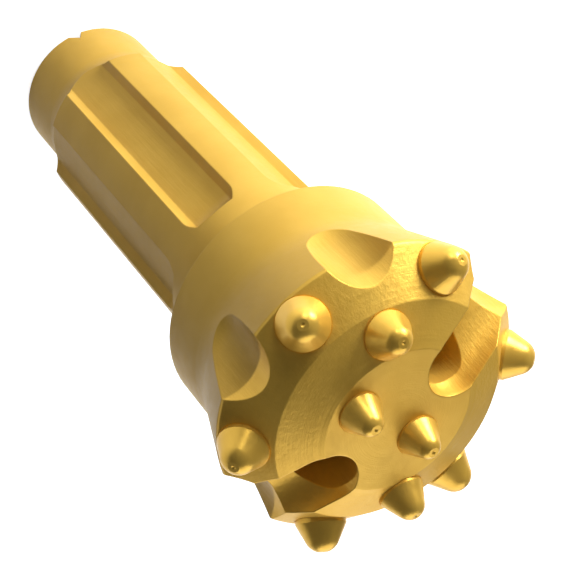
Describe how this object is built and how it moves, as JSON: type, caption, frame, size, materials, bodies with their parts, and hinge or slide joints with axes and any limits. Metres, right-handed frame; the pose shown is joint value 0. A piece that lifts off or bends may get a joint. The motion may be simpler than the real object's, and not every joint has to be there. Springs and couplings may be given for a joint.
{
  "type": "button drill bit",
  "caption": "Rock drill bit for a down-the-hole hammer: splined shank, flared head with flushing slots and chip flutes, conical carbide buttons, gold painted.",
  "frame": {"origin": "centre of the strike face, on the bit's axis", "axes": "+Z along the bit's axis from the strike face to the cutting face; the two flushing slots lie along X"},
  "size_m": [0.0864, 0.0948, 0.2081],
  "materials": {
    "gold_painted_steel": "satin metallic gold paint over machined and forged steel",
    "gold_painted_carbide": "satin metallic gold paint over smooth carbide"
  },
  "bodies": {
    "root": {"bit_body": "gold_painted_steel", "gauge_button_1": "gold_painted_carbide", "gauge_button_2": "gold_painted_carbide", "gauge_button_3": "gold_painted_carbide", "gauge_button_4": "gold_painted_carbide", "gauge_button_5": "gold_painted_carbide", "gauge_button_6": "gold_painted_carbide", "outer_face_button_1": "gold_painted_carbide", "outer_face_button_2": "gold_painted_carbide", "inner_face_button_1": "gold_painted_carbide", "inner_face_button_2": "gold_painted_carbide"}
  },
  "joints": []
}
